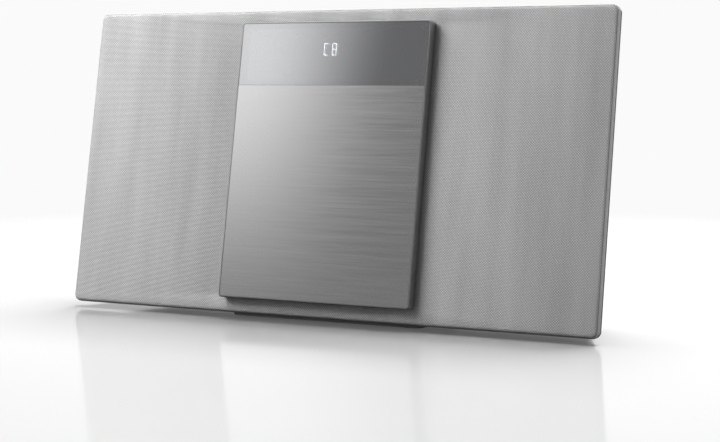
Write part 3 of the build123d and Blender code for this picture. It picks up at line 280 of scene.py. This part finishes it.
def add_bump(tree, shader, height, strength, distance):
    """A Bump node from a height to the shader's normal."""
    bump = tree.nodes.new("ShaderNodeBump")
    bump.inputs["Strength"].default_value = strength
    bump.inputs["Distance"].default_value = distance
    tree.links.new(height, bump.inputs["Height"])
    tree.links.new(bump.outputs[0], shader.inputs["Normal"])


def rgb(grey, blue=0.0):
    """A grey with a little blue in it."""
    return (grey, grey + blue * 0.5, grey + blue, 1.0)


def moulded(name, colour, roughness=0.5, scale=900.0, bump=0.12, variation=0.08, metallic=0.0, **sockets):
    """Moulded or cast surface with a fine grain."""
    material, tree, shader = new_material(name, roughness, metallic, **sockets)
    grain = place_group(tree, GRAIN, Colour=colour, Scale=scale, Roughness=roughness, Variation=variation)
    tree.links.new(grain.outputs["Colour"], shader.inputs["Base Color"])
    tree.links.new(grain.outputs["Roughness"], shader.inputs["Roughness"])
    add_bump(tree, shader, grain.outputs["Height"], bump, 0.0002)
    return material


def brushed(name, colour, roughness=0.3, contrast=0.2, bump=0.1):
    """Metal brushed along X."""
    material, tree, shader = new_material(name, roughness, 1.0)
    lines = place_group(tree, BRUSHING, Colour=colour, Roughness=roughness, Contrast=contrast)
    tree.links.new(lines.outputs["Colour"], shader.inputs["Base Color"])
    tree.links.new(lines.outputs["Roughness"], shader.inputs["Roughness"])
    add_bump(tree, shader, lines.outputs["Height"], bump, 0.0001)
    return material


CLOTH_GREY = 0.42
CLOTH_THREAD = 0.0009  # width of one thread
# strength of the weave's tone, which includes its painted shade between threads and painted light on the
# warp threads
CLOTH_CONTRAST = 1.3


def cloth_material():
    """Light grey speaker cloth, plain weave, from the piece's own UV map in metres."""
    material, tree, shader = new_material("speaker_cloth", 0.85)
    shader.inputs["Specular IOR Level"].default_value = 0.25
    weave = place_group(
        tree,
        WEAVE,
        source="UV",
        Colour=rgb(CLOTH_GREY),
        Thread=CLOTH_THREAD,
        Contrast=CLOTH_CONTRAST,
    )
    tree.links.new(weave.outputs["Colour"], shader.inputs["Base Color"])
    add_bump(tree, shader, weave.outputs["Height"], 0.5, 0.0004)
    return material


MATERIALS = {
    "speaker_cloth": cloth_material(),
    "grille_plastic": moulded("grille_plastic", rgb(0.1), 0.6),
    "cabinet_plastic": moulded("cabinet_plastic", rgb(0.035), 0.48, 1100.0, 0.2),
    "bay_plastic": moulded("bay_plastic", rgb(0.02), 0.35, 1300.0, 0.08),
    "door_paint": moulded("door_paint", rgb(0.36), 0.3, 2200.0, 0.03, 0.05, 0.75),
    "brushed_sheet": brushed("brushed_sheet", rgb(0.58), 0.17, 0.3, 0.02),
    "gear_plastic": moulded("gear_plastic", (0.78, 0.76, 0.7, 1), 0.4, 700.0, 0.05),
    "steel_rod": brushed("steel_rod", rgb(0.6), 0.22, 0.15),
    "motor_can": brushed("motor_can", rgb(0.5), 0.3, 0.2),
    "drive_belt": moulded("drive_belt", rgb(0.02), 0.7, 1500.0, 0.1),
    "pressed_steel": brushed("pressed_steel", rgb(0.5, 0.01), 0.38, 0.25),
    "chassis_plastic": moulded("chassis_plastic", rgb(0.03), 0.5),
    "damper_rubber": moulded("damper_rubber", rgb(0.03), 0.8, 1800.0, 0.2),
    "screw_steel": brushed("screw_steel", rgb(0.4), 0.3, 0.2),
    "hub_plastic": moulded("hub_plastic", rgb(0.04), 0.4),
    "sled_metal": moulded("sled_metal", rgb(0.45), 0.45, 600.0, 0.2, 0.1, 0.9),
    "circuit_board": moulded("circuit_board", (0.01, 0.09, 0.035, 1), 0.35, 500.0, 0.1, 0.2),
    "heat_sink_metal": brushed("heat_sink_metal", rgb(0.55), 0.4, 0.2),
    "shield_can": brushed("shield_can", rgb(0.65), 0.3, 0.15),
    "ferrite": moulded("ferrite", rgb(0.03), 0.55, 400.0, 0.2),
    "capacitor_sleeve": moulded("capacitor_sleeve", rgb(0.02, 0.015), 0.25),
    "socket_plastic": moulded("socket_plastic", rgb(0.012), 0.45),
    "socket_metal": moulded("socket_metal", rgb(0.7), 0.2, 800.0, 0.03, 0.05, 1.0),
    "surround_rubber": moulded("surround_rubber", rgb(0.02), 0.6),
    "magnet_ferrite": moulded("magnet_ferrite", rgb(0.06), 0.6, 400.0, 0.25),
    "cone_paper": moulded("cone_paper", rgb(0.04), 0.85, 350.0, 0.35, 0.2),
    "foot_plastic": moulded("foot_plastic", rgb(0.42), 0.4, 1400.0, 0.08),
    "foot_rubber": moulded("foot_rubber", rgb(0.02), 0.8, 1600.0, 0.2),
    "key_plastic": moulded("key_plastic", rgb(0.3), 0.3, 1500.0, 0.04, 0.05, 0.4),
}


def glass_material(name, colour, metallic, roughness, alpha):
    """A tinted or half-mirrored window, faintly uneven."""
    material, tree, shader = new_material(name, roughness, metallic, Alpha=alpha)
    grain = place_group(tree, GRAIN, Colour=colour, Scale=2500.0, Roughness=roughness, Variation=0.03)
    tree.links.new(grain.outputs["Colour"], shader.inputs["Base Color"])
    return material


MATERIALS["mirror_window"] = glass_material("mirror_window", (0.56, 0.565, 0.58, 1), 1.0, 0.06, 0.75)
MATERIALS["display_glass"] = glass_material("display_glass", rgb(0.012), 0.0, 0.12, 1.0)
MATERIALS["lens_glass"] = glass_material("lens_glass", (0.35, 0.5, 0.75, 1), 0.4, 0.05, 0.9)


def dress_nodes():
    """Gives every CAD node the material of its slot."""
    for row in frame["record"]["subparts"]:
        node = frame["nodes"].get(row["node"])
        if node is None:
            continue
        node.data.materials.clear()
        node.data.materials.append(MATERIALS[row["material_slot"]])


dress_nodes()


# ---- mesh helpers ------------------------------------------------------------------------------------
def finished(name, mesh, material, body, matrix=PANEL, smooth=None):
    """Makes the bmesh an object at the origin, with its place in its mesh, riding on a body."""
    bmesh.ops.remove_doubles(mesh, verts=mesh.verts, dist=1e-6)
    bmesh.ops.transform(mesh, matrix=matrix, verts=mesh.verts)
    data = bpy.data.meshes.new(name)
    mesh.to_mesh(data)
    mesh.free()
    piece = bpy.data.objects.new(name, data)
    bpy.context.collection.objects.link(piece)
    data.materials.append(material)
    if smooth is not None:
        data.shade_smooth()
        data.set_sharp_from_angle(angle=radians(smooth))
    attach(piece, body)
    return piece


def rounded_face(mesh, width, height, radius, centre=(0, 0), level=0.0, segments=8):
    """One rounded rectangle face at a level; returns the face."""
    corners = [(-1, -1), (1, -1), (1, 1), (-1, 1)]
    verts = [
        mesh.verts.new((centre[0] + x * width / 2, centre[1] + y * height / 2, level)) for x, y in corners
    ]
    mesh.faces.new(verts)
    bmesh.ops.bevel(
        mesh,
        geom=verts,
        offset=radius,
        offset_type="OFFSET",
        segments=segments,
        profile=0.5,
        affect="VERTICES",
        material=-1,
    )
    return max(mesh.faces, key=lambda f: f.calc_area())


def rounded_loop(width, height, radius, level):
    """The outline points of a rounded rectangle round the front's middle, at a level."""
    part = bmesh.new()
    face = rounded_face(part, width, height, radius, (0, MIDDLE_V), level, CORNER_STEPS)
    points = [v.co.copy() for v in face.verts]
    part.free()
    return points


CLOTH_THICKNESS = 0.0006
EDGE_TURN = 0.0026  # radius of the cloth's turned edge
EDGE_STEPS = 5
CORNER_STEPS = 10
LEAST_CORNER = 0.002
HOLE_CORNER = 0.003
HOLE_EDGE = ((0.0008, 0.0), (0.0003, -0.0002), (0.0, -0.0008), (0.0, -0.0034))  # outset and level


def make_cloth():
    """One sheet over the front, cut out behind the door and turned round every edge."""
    mesh = bmesh.new()
    loops = [rounded_loop(PANEL_W, PANEL_H, PANEL_CORNER, -WRAP)]
    for step in range(EDGE_STEPS + 1):
        angle = pi / 2 * step / EDGE_STEPS
        inset = EDGE_TURN * (1 - cos(angle))
        level = -EDGE_TURN * (1 - sin(angle))
        corner = max(PANEL_CORNER - inset, LEAST_CORNER)
        loops.append(rounded_loop(PANEL_W - 2 * inset, PANEL_H - 2 * inset, corner, level))
    hole_w = DOOR_W - 2 * DOOR_LAP
    hole_h = DOOR_H - 2 * DOOR_LAP
    for outset, level in HOLE_EDGE:
        loops.append(rounded_loop(hole_w + 2 * outset, hole_h + 2 * outset, HOLE_CORNER + outset, level))
    rings = []
    for loop in loops:
        verts = [mesh.verts.new(co) for co in loop]
        rings.append([mesh.edges.new((verts[i], verts[(i + 1) % len(verts)])) for i in range(len(verts))])
    for first, second in zip(rings, rings[1:]):
        bmesh.ops.bridge_loops(mesh, edges=first + second)
    bmesh.ops.recalc_face_normals(mesh, faces=mesh.faces)
    if max(mesh.faces, key=lambda f: f.calc_area()).normal.z < 0:
        bmesh.ops.reverse_faces(mesh, faces=mesh.faces)
    layer = mesh.loops.layers.uv.new("weave")
    for face in mesh.faces:
        normal = face.normal
        for loop in face.loops:
            co = loop.vert.co
            u, v = co.x, co.y
            if abs(normal.x) > abs(normal.z) and abs(normal.x) > abs(normal.y):
                u += -co.z if normal.x > 0 else co.z
            elif abs(normal.y) > abs(normal.z):
                v += -co.z if normal.y > 0 else co.z
            loop[layer].uv = (u, v)
    material = MATERIALS["speaker_cloth"]
    piece = finished("speaker_cloth", mesh, material, "housing", smooth=40)
    thick = piece.modifiers.new("thickness", "SOLIDIFY")
    thick.thickness = CLOTH_THICKNESS
    thick.offset = -1
    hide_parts("grille_cloth")
    return piece


make_cloth()

# ---- readout behind the window -----------------------------------------------------------------------
READOUT_LEVEL = -0.0031
READOUT_AT = (-0.0055, 0.188)
DIGIT_W = 0.003
DIGIT_H = 0.0082
DIGIT_PITCH = 0.0064
STROKE = 0.0005
RAISED = 0.0001
READOUT_GLOW = 14.0
COOL_WHITE = (0.86, 0.93, 1.0, 1)
DIGITS = ("adef", "abcdefg")
SEGMENTS = {
    "a": ((0, 1), (1, 1)),
    "b": ((1, 1), (1, 0.5)),
    "c": ((1, 0.5), (1, 0)),
    "d": ((0, 0), (1, 0)),
    "e": ((0, 0.5), (0, 0)),
    "f": ((0, 1), (0, 0.5)),
    "g": ((0, 0.5), (1, 0.5)),
}


def readout_material():
    """Cool white glowing segments."""
    material, tree, shader = new_material(
        "readout_glow", 0.4, Base_Color=rgb(0.8), Emission_Strength=READOUT_GLOW
    )
    grain = place_group(tree, GRAIN, Colour=COOL_WHITE, Scale=900.0, Roughness=0.4, Variation=0.05)
    tree.links.new(grain.outputs["Colour"], shader.inputs["Emission Color"])
    return material


def make_readout():
    """Two segment digits on the face of the display glass."""
    mesh = bmesh.new()
    for place, lit in enumerate(DIGITS):
        left = READOUT_AT[0] + (place - 1) * DIGIT_PITCH
        low = READOUT_AT[1] - DIGIT_H / 2
        for key in lit:
            start, end = (
                Vector((left + x * DIGIT_W, low + y * DIGIT_H, READOUT_LEVEL)) for x, y in SEGMENTS[key]
            )
            along = (end - start).normalized()
            across = Vector((-along.y, along.x, 0))
            trim = along * STROKE * 0.6
            tip = along * STROKE * 0.5
            side = across * STROKE / 2
            outline = [
                start + trim - tip,
                start + trim - side,
                end - trim - side,
                end - trim + tip,
                end - trim + side,
                start + trim + side,
            ]
            face = mesh.faces.new([mesh.verts.new(co) for co in outline])
            raised = bmesh.ops.extrude_face_region(mesh, geom=[face])
            top = [v for v in raised["geom"] if isinstance(v, bmesh.types.BMVert)]
            bmesh.ops.translate(mesh, verts=top, vec=(0, 0, RAISED))
    bmesh.ops.recalc_face_normals(mesh, faces=mesh.faces)
    return finished("readout_digits", mesh, readout_material(), "housing")


make_readout()


# ---- floor and light ---------------------------------------------------------------------------------
WHITE = (1, 1, 1, 1)
BACKGROUND = 0.956
FLOOR_SEEN = 0.93  # how pale the floor looks
FLOOR_BOUNCE = 0.22  # how much of its light it passes on
FLOOR_LIFT = 0.08
FLOOR_ROUGHNESS = 0.1
FLOOR_IOR = 1.14
FLOOR_FADE = (0.5, 1.0)  # distances over which the floor fades into the background
SHINE_FADE = (0.5, 1.6)
SHINE = 0.5
HEART = Vector((0, FRONT_Y, PANEL_H / 2))


def add_object(name, data):
    """Links a new object to the scene."""
    made = bpy.data.objects.new(name, data)
    bpy.context.collection.objects.link(made)
    return made


def map_range(tree, value, low, high, start=0.0, end=1.0):
    """A smooth ramp between two values."""
    node = tree.nodes.new("ShaderNodeMapRange")
    node.interpolation_type = "SMOOTHSTEP"
    for socket, given in zip(node.inputs, (value, low, high, start, end)):
        plug(tree, socket, given)
    return node.outputs[0]


def split_vector(tree, source):
    """The three parts of a vector."""
    node = tree.nodes.new("ShaderNodeSeparateXYZ")
    tree.links.new(source, node.inputs[0])
    return node.outputs


def add_floor():
    """A pale floor, faintly glossy near the object."""
    mesh = bmesh.new()
    bmesh.ops.create_grid(mesh, x_segments=2, y_segments=2, size=40.0)
    data = bpy.data.meshes.new("floor")
    mesh.to_mesh(data)
    mesh.free()
    floor = add_object("floor", data)
    material, tree, shader = new_material("floor", FLOOR_ROUGHNESS, IOR=FLOOR_IOR, Emission_Color=WHITE)
    camera = tree.nodes.new("ShaderNodeLightPath").outputs["Is Camera Ray"]
    shade = map_range(tree, camera, 0.0, 1.0, FLOOR_BOUNCE, FLOOR_SEEN)
    tree.links.new(tint(tree, WHITE[:3], shade), shader.inputs["Base Color"])
    tree.links.new(calc(tree, "MULTIPLY", camera, FLOOR_LIFT), shader.inputs["Emission Strength"])
    coordinates = tree.nodes.new("ShaderNodeTexCoord")
    away = tree.nodes.new("ShaderNodeVectorMath")
    away.operation = "LENGTH"
    tree.links.new(coordinates.outputs["Object"], away.inputs[0])
    gloss = map_range(tree, away.outputs["Value"], *SHINE_FADE, SHINE, 0.0)
    tree.links.new(gloss, shader.inputs["Specular IOR Level"])
    edge = map_range(tree, away.outputs["Value"], *FLOOR_FADE, 1.0, 0.0)
    tree.links.new(edge, shader.inputs["Alpha"])
    data.materials.append(material)


def add_area(name, place, target, size, power):
    """A soft square light aimed at a point, unseen in reflections."""
    light = bpy.data.lights.new(name, "AREA")
    light.size = size
    light.energy = power
    lamp = add_object(name, light)
    lamp.location = place
    aim = Vector(target) - Vector(place)
    lamp.rotation_euler = aim.to_track_quat("-Z", "Y").to_euler()
    lamp.visible_glossy = False
    return lamp


def spare_floor(light):
    """Keeps a light off the floor, so that the floor's only shadow is from above."""
    spared = bpy.data.collections.new("unlit_by_" + light.name)
    spared.objects.link(bpy.data.objects["floor"])
    spared.collection_objects[0].light_linking.link_state = "EXCLUDE"
    light.light_linking.receiver_collection = spared


DARK_ROOM = (-0.4, 0.1)  # directions, front to back, over which the mirrored room turns white


def add_world(ambient, dark):
    """White behind everything, dim even light all round, and a darker room in front for reflections."""
    world = bpy.data.worlds.new("studio")
    world.use_nodes = True
    tree = world.node_tree
    path = tree.nodes.new("ShaderNodeLightPath")
    coordinates = tree.nodes.new("ShaderNodeTexCoord")
    front = split_vector(tree, coordinates.outputs["Generated"])[1]
    mirrored = map_range(tree, front, *DARK_ROOM, dark, BACKGROUND)
    diffuse = path.outputs["Is Diffuse Ray"]
    unseen = calc(tree, "MULTIPLY", diffuse, ambient)
    other = calc(tree, "MULTIPLY", calc(tree, "SUBTRACT", 1.0, diffuse), mirrored)
    indirect = calc(tree, "ADD", unseen, other)
    camera = path.outputs["Is Camera Ray"]
    direct = calc(tree, "MULTIPLY", camera, BACKGROUND)
    rest = calc(tree, "MULTIPLY", calc(tree, "SUBTRACT", 1.0, camera), indirect)
    strength = calc(tree, "ADD", direct, rest)
    tree.links.new(strength, tree.nodes["Background"].inputs["Strength"])
    tree.nodes["Background"].inputs["Color"].default_value = WHITE
    bpy.context.scene.world = world


CARD_AZIMUTH = radians(38)
CARD_RISE = radians(17)
CARD_AWAY = 1.6
CARD_HALF = 0.9
CARD_BASE = 0.27
CARD_BRIGHT = 1.2
CARD_SIDE = (-0.29, -0.06)  # where the glow starts and is full, across the card
CARD_UP = (-0.40, 0.12)  # and up the card


def add_card(bright):
    """A large card at the front left, for reflections only, fading down and to the right."""
    mesh = bmesh.new()
    bmesh.ops.create_grid(mesh, x_segments=2, y_segments=2, size=CARD_HALF)
    data = bpy.data.meshes.new("reflection_card")
    mesh.to_mesh(data)
    mesh.free()
    card = add_object("reflection_card", data)
    towards = Vector(
        (-sin(CARD_AZIMUTH) * cos(CARD_RISE), -cos(CARD_AZIMUTH) * cos(CARD_RISE), sin(CARD_RISE))
    )
    card.matrix_world = Matrix.Translation(HEART + towards * CARD_AWAY) @ (
        (-towards).to_track_quat("Z", "Y").to_matrix().to_4x4()
    )
    material = bpy.data.materials.new("reflection_card")
    material.use_nodes = True
    tree = material.node_tree
    tree.nodes.remove(tree.nodes["Principled BSDF"])
    glow = tree.nodes.new("ShaderNodeEmission")
    coordinates = tree.nodes.new("ShaderNodeTexCoord")
    across, up, _ = split_vector(tree, coordinates.outputs["Object"])
    side = map_range(tree, across, *CARD_SIDE)
    rise = map_range(tree, up, *CARD_UP)
    lit = calc(tree, "MULTIPLY", calc(tree, "MULTIPLY", side, rise), bright)
    level = calc(tree, "ADD", lit, CARD_BASE)
    tree.links.new(level, glow.inputs["Strength"])
    tree.links.new(glow.outputs[0], tree.nodes["Material Output"].inputs["Surface"])
    data.materials.append(material)
    card.visible_camera = False
    card.visible_diffuse = False
    card.visible_shadow = False
    card.visible_transmission = False


AMBIENT = 0.12
ROOM_DARK = 0.14
LIT_POINT = (-0.02, 0, 0.1)
SOFT_LIGHTS = (  # name, place, size and power; none of them lights the floor
    ("key", (-0.45, -0.36, 0.62), 0.6, 9.6),
    ("front_fill", (-0.45, -1.3, 0.3), 0.8, 2.0),
    ("side_fill", (1.2, 0.05, 0.3), 0.7, 5.0),
)
OVERHEAD = ((0.05, 0.95, 2.4), (0.0, -0.1, 0.0), 1.7, 70.0)  # place, target, size and power
add_floor()
add_world(AMBIENT, ROOM_DARK)
for name, place, size, power in SOFT_LIGHTS:
    spare_floor(add_area(name, place, LIT_POINT, size, power))
add_area("overhead", *OVERHEAD)
add_card(CARD_BRIGHT)
bpy.context.scene.view_settings.view_transform = "Standard"
